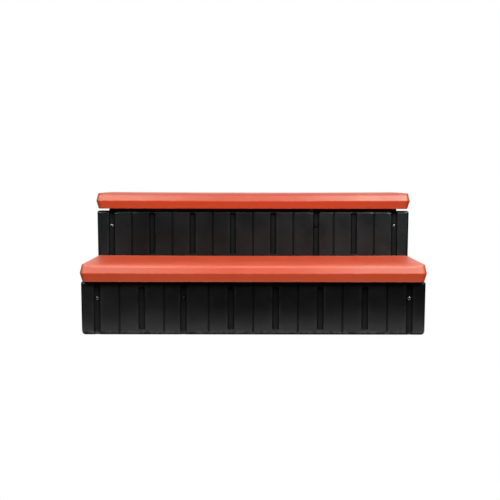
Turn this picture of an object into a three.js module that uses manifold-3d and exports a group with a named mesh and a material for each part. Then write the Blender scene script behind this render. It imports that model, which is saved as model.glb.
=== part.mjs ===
// Two-step spa steps: blow-moulded plastic treads on ribbed riser panels, held
// by two stepped side frames, two supports and a cross rail.
//
// Millimetres, +Z up. The origin is on the floor under the middle of the
// footprint. +X is to the right seen from the front, +Y points to the spa.

import * as THREE from 'three';
import { mergeVertices } from 'three/addons/utils/BufferGeometryUtils.js';
import Module from 'manifold-3d';

// ---------------------------------------------------------------- dimensions

const GAP = 0.3;                 // clearance between neighbouring pieces
const WALL = 3;                  // blow-moulded skin
const OVERCUT = 1;               // how far a cutting tool runs past a surface

// overall
const WIDTH = 914.4;             // 36 in, ridge to ridge of a tread
const DEPTH = 609.6;             // 24 in, front ridge to back ridge

// tread: flat board with a ridge all round, a bevel above and below it
const TREAD_D = 315;             // front to back
const TREAD_T = 47;
const TREAD_RIDGE = 23.2;        // ridge height above the underside
const TREAD_SHOULDER = 42;       // where the upper bevel turns into the top
const TREAD_CORNER = 16;         // plan corner radius at the ridge
const MIN_CORNER = 1;            // least corner radius where the plan is set back
const BEVEL_LOW = 7;             // set-back of the underside from the ridge
const BEVEL_HIGH = 4.7;          // set-back of the shoulder from the ridge
const BEVEL_TOP = 16;            // set-back of the flat top from the ridge
const LOWER_TREAD_Z = 142.4;     // underside heights
const UPPER_TREAD_Z = 325.5;
const TREAD_Y = (DEPTH - TREAD_D) / 2;   // upper tread centre; the lower is at -TREAD_Y

// moulded-in hollows under a tread
const DIMPLE_X = [-280, -120, -48, 48, 120, 280];
const DIMPLE_W = 24;
const DIMPLE_L = 190;
const DIMPLE_H = 41;
const DIMPLE_CORNER = 10;

// riser panel, the same moulding four times, ribbed on both faces
const PANEL_W = 913.6;
const PANEL_H = 141.8;
const PANEL_T = 28;
const PANEL_BEVEL = 8;           // bevel round both faces
const PANEL_FACE_CORNER = 0.5;   // corner radius of the flat face
const PANEL_SETBACK = 22;        // panel face behind the tread ridge
const UPPER_PANEL_Z = 177.6;
const PITCH = 118.2;             // from one wide channel to the next
const CHANNEL_W = 17.5;
const CHANNEL_DEPTH = 8;
const CHANNEL_END = 12;          // closed channels stop this far from the edge
const GROOVE_W = 4.5;
const GROOVE_DEPTH = 4;
const END_CHANNEL = 3.5;         // outermost channel, in pitches from the middle
const END_X = END_CHANNEL * PITCH;   // channel that takes a side frame
const MID_CHANNEL = 1.5;         // the one channel that is moved off the pitch,
const MID_X = 185;               // to here, and takes a support
const SCREW_Z = 97.5;            // screw height above the panel's lower edge
const UPPER_SCREW_Z = UPPER_PANEL_Z + SCREW_Z;
const PANEL_Y = DEPTH / 2 - PANEL_SETBACK - PANEL_T / 2;   // outer panels' centre
const UPPER_RISER_Y = DEPTH / 2 - TREAD_D + PANEL_SETBACK + PANEL_T / 2;
const SEAT = PANEL_T / 2 - CHANNEL_DEPTH + GAP;   // panel centre to a part in a channel

// side frames and supports: hollow boards that fit the panel channels
const BOARD_T = CHANNEL_W - 2 * GAP;
const BOARD_FRONT = -PANEL_Y + SEAT;
const BOARD_BACK = -BOARD_FRONT;
const STEP_Y = UPPER_RISER_Y + SEAT;             // front of the part behind the upper riser
const NOSE_Y = TREAD_D - DEPTH / 2 + GAP;        // just behind the lower tread
const LOW_Z = LOWER_TREAD_Z - GAP;               // top under the lower tread
const LEDGE_Z = UPPER_PANEL_Z - GAP;             // top under the upper panels
const HIGH_Z = UPPER_TREAD_Z - GAP;              // top under the upper tread
const TAB_L = 12;                // tab on the back edge, between the rear panels
const TAB_Z = LOW_Z + 0.4;
const FRAME_CHANNEL_DEPTH = 4;
const FRAME_GROOVE_DEPTH = 2.5;
const FRAME_INNER_X = END_X - BOARD_T / 2 - GAP; // where parts meet a frame's inner face

// cross rail under the back edge of the lower tread
const RAIL_T = 20;
const RAIL_H = 80;
const RAIL_END = 6;              // thickness of its end walls
const RAIL_MID_Z = LOW_Z - RAIL_H / 2;
const RAIL_SCREW_OFFSET = 20;    // end screws above and below the rail's middle
const RAIL_SCREW_Z = [RAIL_MID_Z + RAIL_SCREW_OFFSET, RAIL_MID_Z - RAIL_SCREW_OFFSET];

// cleats: angles that tie a tread to a side frame
const CLEAT_L = 190;
const CLEAT_H = 30;
const CLEAT_W = 28;
const CLEAT_T = 4;
const CLEAT_FILLET = 4;          // flat fillet in the inside corner
const CLEAT_FRAME_Y = 75;        // screws from the cleat's middle, into the frame
const CLEAT_TREAD_Y = 45;        // and into the tread
const CLEAT_SCREW_DROP = 18;     // screw into the frame, below the cleat's top
const CLEAT_SCREW_IN = 18;       // screw into the tread, in from the frame
const CLEAT_SCREW_X = FRAME_INNER_X - CLEAT_SCREW_IN;
const CLEAT_LEVELS = [           // level, y of the middle, z of the top
  ['lower', -TREAD_Y, LOW_Z],
  ['upper', TREAD_Y, HIGH_Z],
];

// screws and their holes
const SHANK_R = 2.1;
const POINT_L = 5;
const LONG = { head: 4.5, headH: 3.2, length: 26 };
const SHORT = { head: 4, headH: 2.6, length: 12 };
const MEDIUM = { head: 4, headH: 2.6, length: 16 };
const ROUND_SIDES = 8;
const HOLE_R = 2.6;
const PILOT_L = 12;              // hole lengths, half of each outside the surface
const RAIL_PILOT_L = 24;
const CLEAT_HOLE_L = 20;
const THROUGH_EXTRA = 4;         // added to the thickness for a through hole
const SKIN_HOLE_L = WALL + 3;

// ------------------------------------------------------------------ helpers

const manifold = await Module();
manifold.setup();

function solid(geometry) {
  const bare = geometry.clone();
  bare.deleteAttribute('normal');
  bare.deleteAttribute('uv');
  const merged = mergeVertices(bare, 1e-4);
  return new manifold.Manifold(new manifold.Mesh({
    numProp: 3,
    vertProperties: new Float32Array(merged.attributes.position.array),
    triVerts: new Uint32Array(merged.index.array),
  }));
}

function geometryOf(body) {
  const mesh = body.getMesh();
  const geometry = new THREE.BufferGeometry();
  const positions = new Float32Array(mesh.vertProperties);
  geometry.setAttribute('position', new THREE.BufferAttribute(positions, 3));
  geometry.setIndex(new THREE.BufferAttribute(new Uint32Array(mesh.triVerts), 1));
  geometry.computeVertexNormals();
  return geometry;
}

// a copy mirrored in x, its triangles turned to face outwards again
function mirrorX(geometry) {
  const mirrored = geometry.clone();
  mirrored.scale(-1, 1, 1);
  const index = mirrored.index.array;
  for (let i = 0; i < index.length; i += 3) {
    [index[i], index[i + 1]] = [index[i + 1], index[i]];
  }
  mirrored.computeVertexNormals();
  return mirrored;
}

function box(x0, x1, y0, y1, z0, z1) {
  const geometry = new THREE.BoxGeometry(x1 - x0, y1 - y0, z1 - z0);
  geometry.translate((x0 + x1) / 2, (y0 + y1) / 2, (z0 + z1) / 2);
  return solid(geometry);
}

// rounded rectangle centred on the origin
function roundedRect(width, height, radius) {
  const shape = new THREE.Shape();
  const right = width / 2;
  const top = height / 2;
  shape.moveTo(right, -top + radius);
  shape.lineTo(right, top - radius);
  shape.absarc(right - radius, top - radius, radius, 0, Math.PI / 2, false);
  shape.lineTo(-right + radius, top);
  shape.absarc(-right + radius, top - radius, radius, Math.PI / 2, Math.PI, false);
  shape.lineTo(-right, -top + radius);
  shape.absarc(-right + radius, -top + radius, radius, Math.PI, 1.5 * Math.PI, false);
  shape.lineTo(right - radius, -top);
  shape.absarc(right - radius, -top + radius, radius, 1.5 * Math.PI, 2 * Math.PI, false);
  return shape;
}

function extrude(shape, depth) {
  return new THREE.ExtrudeGeometry(shape, { depth, bevelEnabled: false, curveSegments: 1 });
}

// A closed skin through tread-shaped rings, from low to high.
// levels: [z, set-back from the ridge]
function treadLoft(levels, cornerSegments) {
  const rings = levels.map(([z, inset]) => {
    const corner = Math.max(TREAD_CORNER - inset, MIN_CORNER);
    const points = roundedRect(WIDTH - 2 * inset, TREAD_D - 2 * inset, corner)
      .extractPoints(cornerSegments).shape;
    points.pop();                // the last point repeats the first
    return { z, points };
  });
  const count = rings[0].points.length;
  const positions = rings.flatMap(({ z, points }) => points.flatMap((p) => [p.x, p.y, z]));
  const index = [];
  for (let k = 0; k + 1 < rings.length; k++) {
    const low = k * count;
    const high = low + count;
    for (let i = 0; i < count; i++) {
      const next = (i + 1) % count;
      index.push(low + i, low + next, high + next, low + i, high + next, high + i);
    }
  }
  const top = (rings.length - 1) * count;
  for (const [a, b, c] of THREE.ShapeUtils.triangulateShape(rings[0].points, [])) {
    index.push(a, c, b);
  }
  for (const [a, b, c] of THREE.ShapeUtils.triangulateShape(rings.at(-1).points, [])) {
    index.push(top + a, top + b, top + c);
  }
  const geometry = new THREE.BufferGeometry();
  geometry.setAttribute('position', new THREE.Float32BufferAttribute(positions, 3));
  geometry.setIndex(index);
  return solid(geometry);
}

// cuts holes along an axis, each centred on an [x, y, z] point
function drill(body, axis, length, points) {
  let drilled = body;
  for (const point of points) {
    const tool = new THREE.CylinderGeometry(HOLE_R, HOLE_R, length, ROUND_SIDES);
    if (axis === 'x') tool.rotateZ(Math.PI / 2);
    if (axis === 'z') tool.rotateX(Math.PI / 2);
    tool.translate(...point);
    drilled = drilled.subtract(solid(tool));
  }
  return drilled;
}

// a (y, z) outline turned into a board centred on x = 0
function board(outline, thickness) {
  const shape = new THREE.Shape(outline.map(([y, z]) => new THREE.Vector2(y, z)));
  const geometry = extrude(shape, thickness);
  geometry.translate(0, 0, -thickness / 2);
  geometry.applyMatrix4(new THREE.Matrix4().makeBasis(
    new THREE.Vector3(0, 1, 0), new THREE.Vector3(0, 0, 1), new THREE.Vector3(1, 0, 0)));
  return solid(geometry);
}

// outside and inside of a hollow board; outlineAt(inset) gives its outline
const boardBody = (outlineAt) => board(outlineAt(0), BOARD_T);
const boardCavity = (outlineAt) => board(outlineAt(WALL), BOARD_T - 2 * WALL);

// ----------------------------------------------------------------- materials

function material(color, roughness, metalness) {
  return new THREE.MeshStandardMaterial({ color, roughness, metalness });
}

// colour, roughness, metalness
const redwood = material(0xd9603f, 0.5, 0);
const black = material(0x232326, 0.45, 0);
const blackInner = material(0x1c1c1e, 0.6, 0);
const steel = material(0xb9bcc0, 0.3, 1);
const darkSteel = material(0x2a2a2c, 0.4, 1);

// -------------------------------------------------------------------- treads

// an upright block with a dimple's plan, grown sideways, from just below z = 0 up to top
function dimpleBlock(x, grow, top) {
  const plan = roundedRect(DIMPLE_W + 2 * grow, DIMPLE_L + 2 * grow, DIMPLE_CORNER);
  const block = extrude(plan, top + OVERCUT);
  block.translate(x, 0, -OVERCUT);
  return solid(block);
}

// Centred in plan, underside on z = 0.
function treadGeometry() {
  let body = treadLoft([
    [0, BEVEL_LOW],
    [TREAD_RIDGE, 0],
    [TREAD_SHOULDER, BEVEL_HIGH],
    [TREAD_T, BEVEL_TOP],
  ], 4);
  let cavity = treadLoft([
    [WALL, BEVEL_LOW + WALL],
    [TREAD_RIDGE, WALL],
    [TREAD_SHOULDER - WALL, BEVEL_HIGH + WALL],
    [TREAD_T - WALL, BEVEL_TOP + WALL],
  ], 2);
  for (const x of DIMPLE_X) {
    body = body.subtract(dimpleBlock(x, 0, DIMPLE_H));
    cavity = cavity.subtract(dimpleBlock(x, WALL, TREAD_T + OVERCUT));
  }
  const screwHoles = [-1, 1].flatMap((sx) => [-1, 1].map(
    (sy) => [sx * CLEAT_SCREW_X, sy * CLEAT_TREAD_Y, WALL / 2]));
  return geometryOf(drill(body.subtract(cavity), 'z', SKIN_HOLE_L, screwHoles));
}

// ------------------------------------------------------------- riser panels

// slab with bevelled edges, standing on z = 0
function panelSlab() {
  const face = roundedRect(
    PANEL_W - 2 * PANEL_BEVEL, PANEL_H - 2 * PANEL_BEVEL, PANEL_FACE_CORNER);
  const depth = PANEL_T - 2 * PANEL_BEVEL;
  const slab = new THREE.ExtrudeGeometry(face, {
    depth,
    curveSegments: 1,
    bevelEnabled: true,
    bevelThickness: PANEL_BEVEL,
    bevelSize: PANEL_BEVEL,
    bevelSegments: 1,
  });
  slab.translate(0, 0, -depth / 2);
  slab.rotateX(Math.PI / 2);
  slab.translate(0, 0, PANEL_H / 2);
  return solid(slab);
}

// tool for an upright slot in one face (side -1 or 1), stopping `end` from both edges
function panelSlot(x, width, depth, end, side) {
  const faces = [side * (PANEL_T / 2 + OVERCUT), side * (PANEL_T / 2 - depth)];
  return box(x - width / 2, x + width / 2, Math.min(...faces), Math.max(...faces),
    end, PANEL_H - end);
}

// Centred on x = 0 and on its thickness, standing on z = 0.
function panelGeometry() {
  const slots = [];              // x, width, depth, distance of the ends from the edges
  for (let k = -END_CHANNEL; k <= END_CHANNEL; k++) {
    const isMid = k === MID_CHANNEL;
    const isOpen = isMid || Math.abs(k) === END_CHANNEL;
    slots.push([isMid ? MID_X : k * PITCH, CHANNEL_W, CHANNEL_DEPTH,
      isOpen ? -OVERCUT : CHANNEL_END]);
  }
  for (let k = -3; k <= 3; k++) slots.push([k * PITCH, GROOVE_W, GROOVE_DEPTH, -OVERCUT]);

  let body = panelSlab();
  let cavity = box(-PANEL_W / 2 + PANEL_BEVEL, PANEL_W / 2 - PANEL_BEVEL,
    -PANEL_T / 2 + WALL, PANEL_T / 2 - WALL, PANEL_BEVEL, PANEL_H - PANEL_BEVEL);
  for (const [x, width, depth, end] of slots) {
    for (const side of [-1, 1]) {
      body = body.subtract(panelSlot(x, width, depth, end, side));
      cavity = cavity.subtract(
        panelSlot(x, width + 2 * WALL, depth + WALL, -OVERCUT, side));
    }
  }
  const screwHoles = [-END_X, MID_X, END_X].map((x) => [x, 0, SCREW_Z]);
  return geometryOf(drill(body.subtract(cavity), 'y', PANEL_T, screwHoles));
}

// ------------------------------------------------- side frames and supports

// (y, z) outline of a stepped board, moved inwards by the inset. A front ahead
// of NOSE_Y adds the part under the lower tread.
function steppedOutline(front, inset) {
  const back = BOARD_BACK - inset;
  const outline = [
    [front + inset, inset],
    [back, inset],
    [back, TAB_Z + inset],
    [back + TAB_L, TAB_Z + inset],
    [back + TAB_L, LEDGE_Z - inset],
    [back, LEDGE_Z - inset],
    [back, HIGH_Z - inset],
    [STEP_Y + inset, HIGH_Z - inset],
    [STEP_Y + inset, LEDGE_Z - inset],
    [NOSE_Y + inset, LEDGE_Z - inset],
  ];
  if (front < NOSE_Y) {
    outline.push([NOSE_Y + inset, LOW_Z - inset], [front + inset, LOW_Z - inset]);
  }
  return outline;
}

// pilot holes for the screws of the upper riser and both rear panels
const STEPPED_PILOTS = [
  [0, STEP_Y, UPPER_SCREW_Z],
  [0, BOARD_BACK, SCREW_Z],
  [0, BOARD_BACK, UPPER_SCREW_Z],
];

// The right frame, ribbed on its outer face, which is towards +x.
function frameGeometry() {
  const outlineAt = (inset) => steppedOutline(BOARD_FRONT, inset);
  let body = boardBody(outlineAt);
  let cavity = boardCavity(outlineAt);
  const face = BOARD_T / 2;
  for (let k = -2; k <= 2; k += 0.5) {
    const isChannel = Number.isInteger(k);
    const half = (isChannel ? CHANNEL_W : GROOVE_W) / 2;
    const floor = face - (isChannel ? FRAME_CHANNEL_DEPTH : FRAME_GROOVE_DEPTH);
    const end = isChannel ? CHANNEL_END : -OVERCUT;
    const y = k * PITCH;
    const top = y > NOSE_Y ? HIGH_Z : LOW_Z;
    body = body.subtract(box(floor, face + OVERCUT, y - half, y + half, end, top - end));
    cavity = cavity.subtract(box(floor - WALL, face + OVERCUT,
      y - half - WALL, y + half + WALL, -OVERCUT, HIGH_Z + OVERCUT));
  }
  body = body.subtract(cavity);
  body = drill(body, 'y', PILOT_L, [[0, BOARD_FRONT, SCREW_Z], ...STEPPED_PILOTS]);
  // rail screws pass right through
  body = drill(body, 'x', BOARD_T + THROUGH_EXTRA, RAIL_SCREW_Z.map((z) => [0, 0, z]));
  // cleat screws enter from the inner face
  for (const [, y, top] of CLEAT_LEVELS) {
    body = drill(body, 'x', PILOT_L,
      [-1, 1].map((s) => [-face, y + s * CLEAT_FRAME_Y, top - CLEAT_SCREW_DROP]));
  }
  return geometryOf(body);
}

// Plain board from the lower riser back to the cross rail.
function lowerSupportGeometry() {
  const back = -RAIL_T / 2 - GAP;
  const outlineAt = (inset) => [
    [BOARD_FRONT + inset, inset],
    [back - inset, inset],
    [back - inset, LOW_Z - inset],
    [BOARD_FRONT + inset, LOW_Z - inset],
  ];
  const body = boardBody(outlineAt).subtract(boardCavity(outlineAt));
  return geometryOf(drill(body, 'y', PILOT_L,
    [[0, BOARD_FRONT, SCREW_Z], [0, back, RAIL_MID_Z]]));
}

// Stepped board from the cross rail back to the rear panels.
function upperSupportGeometry() {
  const outlineAt = (inset) => steppedOutline(NOSE_Y, inset);
  const body = boardBody(outlineAt).subtract(boardCavity(outlineAt));
  return geometryOf(drill(body, 'y', PILOT_L,
    [...STEPPED_PILOTS, [0, NOSE_Y, RAIL_MID_Z]]));
}

// ---------------------------------------------------------------- cross rail

function railGeometry() {
  const half = FRAME_INNER_X;
  const bottom = LOW_Z - RAIL_H;
  let body = box(-half, half, -RAIL_T / 2, RAIL_T / 2, bottom, LOW_Z).subtract(
    box(-half + RAIL_END, half - RAIL_END, -RAIL_T / 2 + WALL, RAIL_T / 2 - WALL,
      bottom + WALL, LOW_Z - WALL));
  for (const z of RAIL_SCREW_Z) {
    body = drill(body, 'x', RAIL_PILOT_L, [[-half, 0, z], [half, 0, z]]);
  }
  return geometryOf(drill(body, 'y', RAIL_T + THROUGH_EXTRA,
    [[-MID_X, 0, RAIL_MID_Z], [MID_X, 0, RAIL_MID_Z]]));
}

// -------------------------------------------------------------------- cleats

// Back of the angle on x = 0 reaching towards -x, top on z = 0.
function cleatGeometry() {
  const section = [              // x, z
    [0, 0],
    [-CLEAT_W, 0],
    [-CLEAT_W, -CLEAT_T],
    [-CLEAT_T - CLEAT_FILLET, -CLEAT_T],
    [-CLEAT_T, -CLEAT_T - CLEAT_FILLET],
    [-CLEAT_T, -CLEAT_H],
    [0, -CLEAT_H],
  ];
  const shape = new THREE.Shape(section.map(([x, z]) => new THREE.Vector2(x, z)));
  const angle = extrude(shape, CLEAT_L);
  angle.translate(0, 0, -CLEAT_L / 2);
  angle.rotateX(Math.PI / 2);
  let body = solid(angle);
  for (const s of [-1, 1]) {
    body = drill(body, 'x', CLEAT_HOLE_L, [[0, s * CLEAT_FRAME_Y, -CLEAT_SCREW_DROP]]);
    body = drill(body, 'z', CLEAT_HOLE_L, [[-CLEAT_SCREW_IN, s * CLEAT_TREAD_Y, 0]]);
  }
  return geometryOf(body);
}

// -------------------------------------------------------------------- screws

// Conical head above z = 0, shank and point below it.
function screwGeometry({ head, headH, length }) {
  const profile = [              // radius, z
    [0, -length],
    [SHANK_R, -length + POINT_L],
    [SHANK_R, 0],
    [head, 0],
    [0, headH],
  ].map(([radius, z]) => new THREE.Vector2(radius, z));
  const lathe = new THREE.LatheGeometry(profile, ROUND_SIDES);
  lathe.rotateX(Math.PI / 2);
  return geometryOf(solid(lathe));
}

// ------------------------------------------------------------------ assembly

const group = new THREE.Group();

function add(name, geometry, finish, x, y, z, turn = 0) {
  const mesh = new THREE.Mesh(geometry, finish.clone());
  mesh.name = name;
  mesh.position.set(x, y, z);
  mesh.rotation.z = turn;
  group.add(mesh);
  return mesh;
}

// rotation for each world direction the point of a screw can face
const TOWARDS = {
  '+x': [0, -Math.PI / 2, 0],
  '-x': [0, Math.PI / 2, 0],
  '+y': [Math.PI / 2, 0, 0],
  '-y': [-Math.PI / 2, 0, 0],
  '+z': [Math.PI, 0, 0],
};

function addScrew(name, geometry, finish, direction, x, y, z) {
  const mesh = add(name, geometry, finish, x, y, z);
  mesh.rotation.set(...TOWARDS[direction]);
}

const SIDES = [['left', -1], ['right', 1]];

const tread = treadGeometry();
add('lower_tread', tread, redwood, 0, -TREAD_Y, LOWER_TREAD_Z);
add('upper_tread', tread, redwood, 0, TREAD_Y, UPPER_TREAD_Z);

// mesh name, name in its screws, y, z, outward direction in y, x of the support channel
const PANELS = [
  ['lower_riser', 'lower_riser', -PANEL_Y, 0, -1, -MID_X],
  ['upper_riser', 'upper_riser', UPPER_RISER_Y, UPPER_PANEL_Z, -1, MID_X],
  ['rear_lower_panel', 'rear_lower', PANEL_Y, 0, 1, MID_X],
  ['rear_upper_panel', 'rear_upper', PANEL_Y, UPPER_PANEL_Z, 1, MID_X],
];
const panel = panelGeometry();
for (const [name, , y, z, , midX] of PANELS) {
  // half a turn brings the support channel to the left
  add(name, panel, black, 0, y, z, midX < 0 ? Math.PI : 0);
}

const frame = frameGeometry();
add('side_frame_left', mirrorX(frame), black, -END_X, 0, 0);
add('side_frame_right', frame, black, END_X, 0, 0);
add('lower_support', lowerSupportGeometry(), blackInner, -MID_X, 0, 0);
add('upper_support', upperSupportGeometry(), blackInner, MID_X, 0, 0);
add('cross_rail', railGeometry(), blackInner, 0, 0, 0);

const longScrew = screwGeometry(LONG);
const shortScrew = screwGeometry(SHORT);
const mediumScrew = screwGeometry(MEDIUM);

// cleats, each with two screws into the frame and two up into the tread
const cleat = cleatGeometry();
for (const [level, cleatY, top] of CLEAT_LEVELS) {
  for (const [side, s] of SIDES) {
    const name = `cleat_${level}_${side}`;
    add(name, cleat, blackInner, s * FRAME_INNER_X, cleatY, top, s < 0 ? Math.PI : 0);
    for (const [end, k] of [['front', -1], ['back', 1]]) {
      addScrew(`screw_${name}_frame_${end}`, shortScrew, steel, s < 0 ? '-x' : '+x',
        s * (FRAME_INNER_X - CLEAT_T - GAP), cleatY + k * CLEAT_FRAME_Y,
        top - CLEAT_SCREW_DROP);
      addScrew(`screw_${name}_tread_${end}`, mediumScrew, steel, '+z',
        s * CLEAT_SCREW_X, cleatY + k * CLEAT_TREAD_Y, top - CLEAT_T - GAP);
    }
  }
}

// panel screws, from the outward face into the frames and a support
for (const [, name, y, z, out, midX] of PANELS) {
  for (const [place, finish, x] of [
    ['left', steel, -END_X],
    ['mid', darkSteel, midX],
    ['right', steel, END_X],
  ]) {
    addScrew(`screw_${name}_${place}`, longScrew, finish, out < 0 ? '+y' : '-y',
      x, y + out * SEAT, z + SCREW_Z);
  }
}

// rail screws, through the frames into the rail's ends
const railSeatX = END_X + BOARD_T / 2 - FRAME_CHANNEL_DEPTH + GAP;
for (const [side, s] of SIDES) {
  RAIL_SCREW_Z.forEach((z, i) => {
    addScrew(`screw_rail_${side}_${i ? 'low' : 'high'}`, longScrew, steel,
      s < 0 ? '+x' : '-x', s * railSeatX, 0, z);
  });
}

// and through the rail into the supports
const railFaceY = RAIL_T / 2 + GAP;
addScrew('screw_rail_lower_support', longScrew, steel, '-y', -MID_X, railFaceY, RAIL_MID_Z);
addScrew('screw_rail_upper_support', longScrew, steel, '+y', MID_X, -railFaceY, RAIL_MID_Z);

export default group;
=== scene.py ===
"""A two-step stool: redwood treads on black riser panels, side frames and supports.

X runs across the width with +X to the right, -Y is the front, where the lower
step is, and +Z is up. Pieces are worked out in millimetres and placed by the
box of the CAD piece they replace.
"""
import math
from collections import namedtuple

import bmesh
import bpy
import numpy as np
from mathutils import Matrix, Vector


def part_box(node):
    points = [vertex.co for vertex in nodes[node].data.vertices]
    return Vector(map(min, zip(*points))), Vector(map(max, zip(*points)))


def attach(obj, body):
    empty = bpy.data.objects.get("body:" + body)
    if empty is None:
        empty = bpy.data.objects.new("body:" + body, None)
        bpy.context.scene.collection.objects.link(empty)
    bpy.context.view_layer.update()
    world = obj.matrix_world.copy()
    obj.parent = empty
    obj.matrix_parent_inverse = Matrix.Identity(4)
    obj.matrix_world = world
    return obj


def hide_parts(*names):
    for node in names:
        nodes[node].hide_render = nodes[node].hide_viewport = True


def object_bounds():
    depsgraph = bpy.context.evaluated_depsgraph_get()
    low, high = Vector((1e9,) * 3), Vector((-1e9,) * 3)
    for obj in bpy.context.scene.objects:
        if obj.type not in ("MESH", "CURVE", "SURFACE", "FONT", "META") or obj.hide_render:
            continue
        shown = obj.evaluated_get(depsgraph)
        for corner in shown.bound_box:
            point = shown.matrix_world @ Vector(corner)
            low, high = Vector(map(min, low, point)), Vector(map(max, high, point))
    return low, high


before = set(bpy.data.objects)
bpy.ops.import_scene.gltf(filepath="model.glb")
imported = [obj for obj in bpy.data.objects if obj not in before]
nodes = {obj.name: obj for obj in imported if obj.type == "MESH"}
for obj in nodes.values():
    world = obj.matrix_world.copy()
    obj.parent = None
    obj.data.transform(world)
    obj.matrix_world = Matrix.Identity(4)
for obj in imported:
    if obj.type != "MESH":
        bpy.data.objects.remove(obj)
cad_bounds = [list(map(float, corner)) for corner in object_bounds()]
BODY = "root"

# Dimensions shared by several pieces, in mm
PITCH = 118.2             # spacing of the channels along panels and side frames
MID_X = 185.0             # distance of the supports from the middle
CHANNEL_HALF = 8.75       # half width of a wide channel


# -------------------------------------------------------------------- objects

def box_mm(node):
    low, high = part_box(node)
    return np.array(low) * 1000.0, np.array(high) * 1000.0


def link_object(name, data):
    obj = bpy.data.objects.new(name, data)
    bpy.context.scene.collection.objects.link(obj)
    return obj


def register(obj, node):
    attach(obj, BODY)
    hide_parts(node)


def store_points(mesh, key, values):
    layer = mesh.attributes.new(key, "FLOAT", "POINT")
    layer.data.foreach_set("value", np.asarray(values, np.float32))


def shade_smooth(mesh, sharp_angle=None):
    for polygon in mesh.polygons:
        polygon.use_smooth = True
    if sharp_angle is not None:
        mesh.set_sharp_from_angle(angle=math.radians(sharp_angle))


def make_object(node, suffix, verts_mm, faces, material, slot, sharp_angle=None, **point_values):
    """Replaces a CAD node; point_values become attributes that the materials read.

    Without a sharp_angle the whole surface is smooth, with weighted normals."""
    mesh = bpy.data.meshes.new(node + suffix)
    mesh.from_pydata((np.asarray(verts_mm, float) * 0.001).tolist(), [], faces)
    mesh.update()
    bm = bmesh.new()
    bm.from_mesh(mesh)
    bmesh.ops.recalc_face_normals(bm, faces=bm.faces)
    bm.to_mesh(mesh)
    bm.free()
    for key, values in point_values.items():
        store_points(mesh, key, values)
    shade_smooth(mesh, sharp_angle)
    mesh.materials.append(material)
    obj = link_object(node + suffix, mesh)
    if sharp_angle is None:
        normals = obj.modifiers.new("normals", "WEIGHTED_NORMAL")
        normals.keep_sharp = False
        normals.weight = 60
    register(obj, node)


# --------------------------------------------------------------- curve helpers

def unit(value):
    return np.clip(value, 0, 1)


def smooth(value):
    """An S-shaped ramp from 0 to 1."""
    value = unit(value)
    return value * value * (3 - 2 * value)


def band(value, middle, width):
    """A bell of height 1 around middle."""
    return np.exp(-((value - middle) / width) ** 2)


def wave(x, y, seed, parts):
    """Smooth unevenness between -1 and 1; parts are (wavelength, share)."""
    rng = np.random.RandomState(seed)
    total = np.zeros(np.broadcast(x, y).shape)
    for length, share in parts:
        for _ in range(3):
            heading = rng.uniform(0, 2 * math.pi)
            rate = 2 * math.pi / (length * rng.uniform(0.8, 1.25))
            phase = rng.uniform(0, 2 * math.pi)
            along = x * math.cos(heading) + y * math.sin(heading)
            total = total + share / 3 * 1.6 * np.sin(rate * along + phase)
    return np.clip(total, -1, 1)


def swell(x, y, seed, parts):
    """The same unevenness between 0 and 1."""
    return 0.5 + 0.5 * wave(x, y, seed, parts)


def bezier(start, bend, end, steps):
    """Points of a quadratic curve, both ends included."""
    start, bend, end = np.array(start), np.array(bend), np.array(end)
    out = []
    for k in range(steps + 1):
        t = k / steps
        out.append(tuple((1 - t) ** 2 * start + 2 * t * (1 - t) * bend + t * t * end))
    return out


def fillet(inset, radius):
    """Depth of a rounded edge at a distance in from the outline."""
    inset = np.clip(inset, 0, radius)
    return radius - np.sqrt(np.maximum(radius * radius - (radius - inset) ** 2, 0))


def table(*pairs):
    """Splits (position, value) pairs into the two rows that np.interp takes."""
    return np.array(pairs).T


# Walls of the sunk shapes: (distance in from the edge, share of the depth)
WALL = table((-1.4, 0.0), (-0.9, 0.012), (-0.45, 0.07), (-0.1, 0.2), (0.35, 0.58),
             (0.7, 0.84), (0.95, 0.94), (1.35, 0.985), (1.9, 1.0), (3.0, 1.0))
# a channel whose floor is a shallow trough
DISH = table((-0.9, 0.0), (-0.5, 0.015), (-0.15, 0.07), (0.2, 0.22), (0.5, 0.36),
             (0.9, 0.48), (1.4, 0.58), (2.0, 0.68), (2.8, 0.785), (3.8, 0.875),
             (5.0, 0.94), (6.4, 0.98), (7.6, 0.995), (CHANNEL_HALF, 1.0))
# the closed end of such a channel
CRISP = table((-0.5, 0.0), (-0.2, 0.03), (0.0, 0.12), (0.25, 0.72), (0.55, 0.96), (1.0, 1.0))


def slot_inset(x, y, mid_x, y0, y1, half, corner):
    """Distance in from the edge of an upright rounded slot (positive inside)."""
    mid_y, half_y = (y0 + y1) / 2, (y1 - y0) / 2
    corner = min(corner, half, half_y)
    out_x = np.abs(x - mid_x) - (half - corner)
    out_y = np.abs(y - mid_y) - (half_y - corner)
    outside = np.hypot(np.maximum(out_x, 0), np.maximum(out_y, 0))
    return corner - (outside + np.minimum(np.maximum(out_x, out_y), 0))


# ---------------------------------------------------------------- mesh helpers

def spread(points, step):
    """Fills the gaps between the given positions so that none is longer than step."""
    points = sorted(set(round(float(p), 4) for p in points))
    out = [points[0]]
    for a, b in zip(points, points[1:]):
        parts = max(1, int(math.ceil((b - a) / step - 1e-9)))
        for i in range(1, parts + 1):
            out.append(a + (b - a) * i / parts)
    return np.array(out)


def thin_out(points, least):
    """Drops positions closer than least to the one before; the last stays."""
    out = [points[0]]
    for p in points[1:]:
        if p - out[-1] >= least:
            out.append(p)
    out[-1] = points[-1]
    return np.array(out)


def mirrored(middle, offsets):
    """Positions at the given offsets on both sides of a middle."""
    return [middle + sign * s for s in offsets for sign in (-1, 1)]


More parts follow.
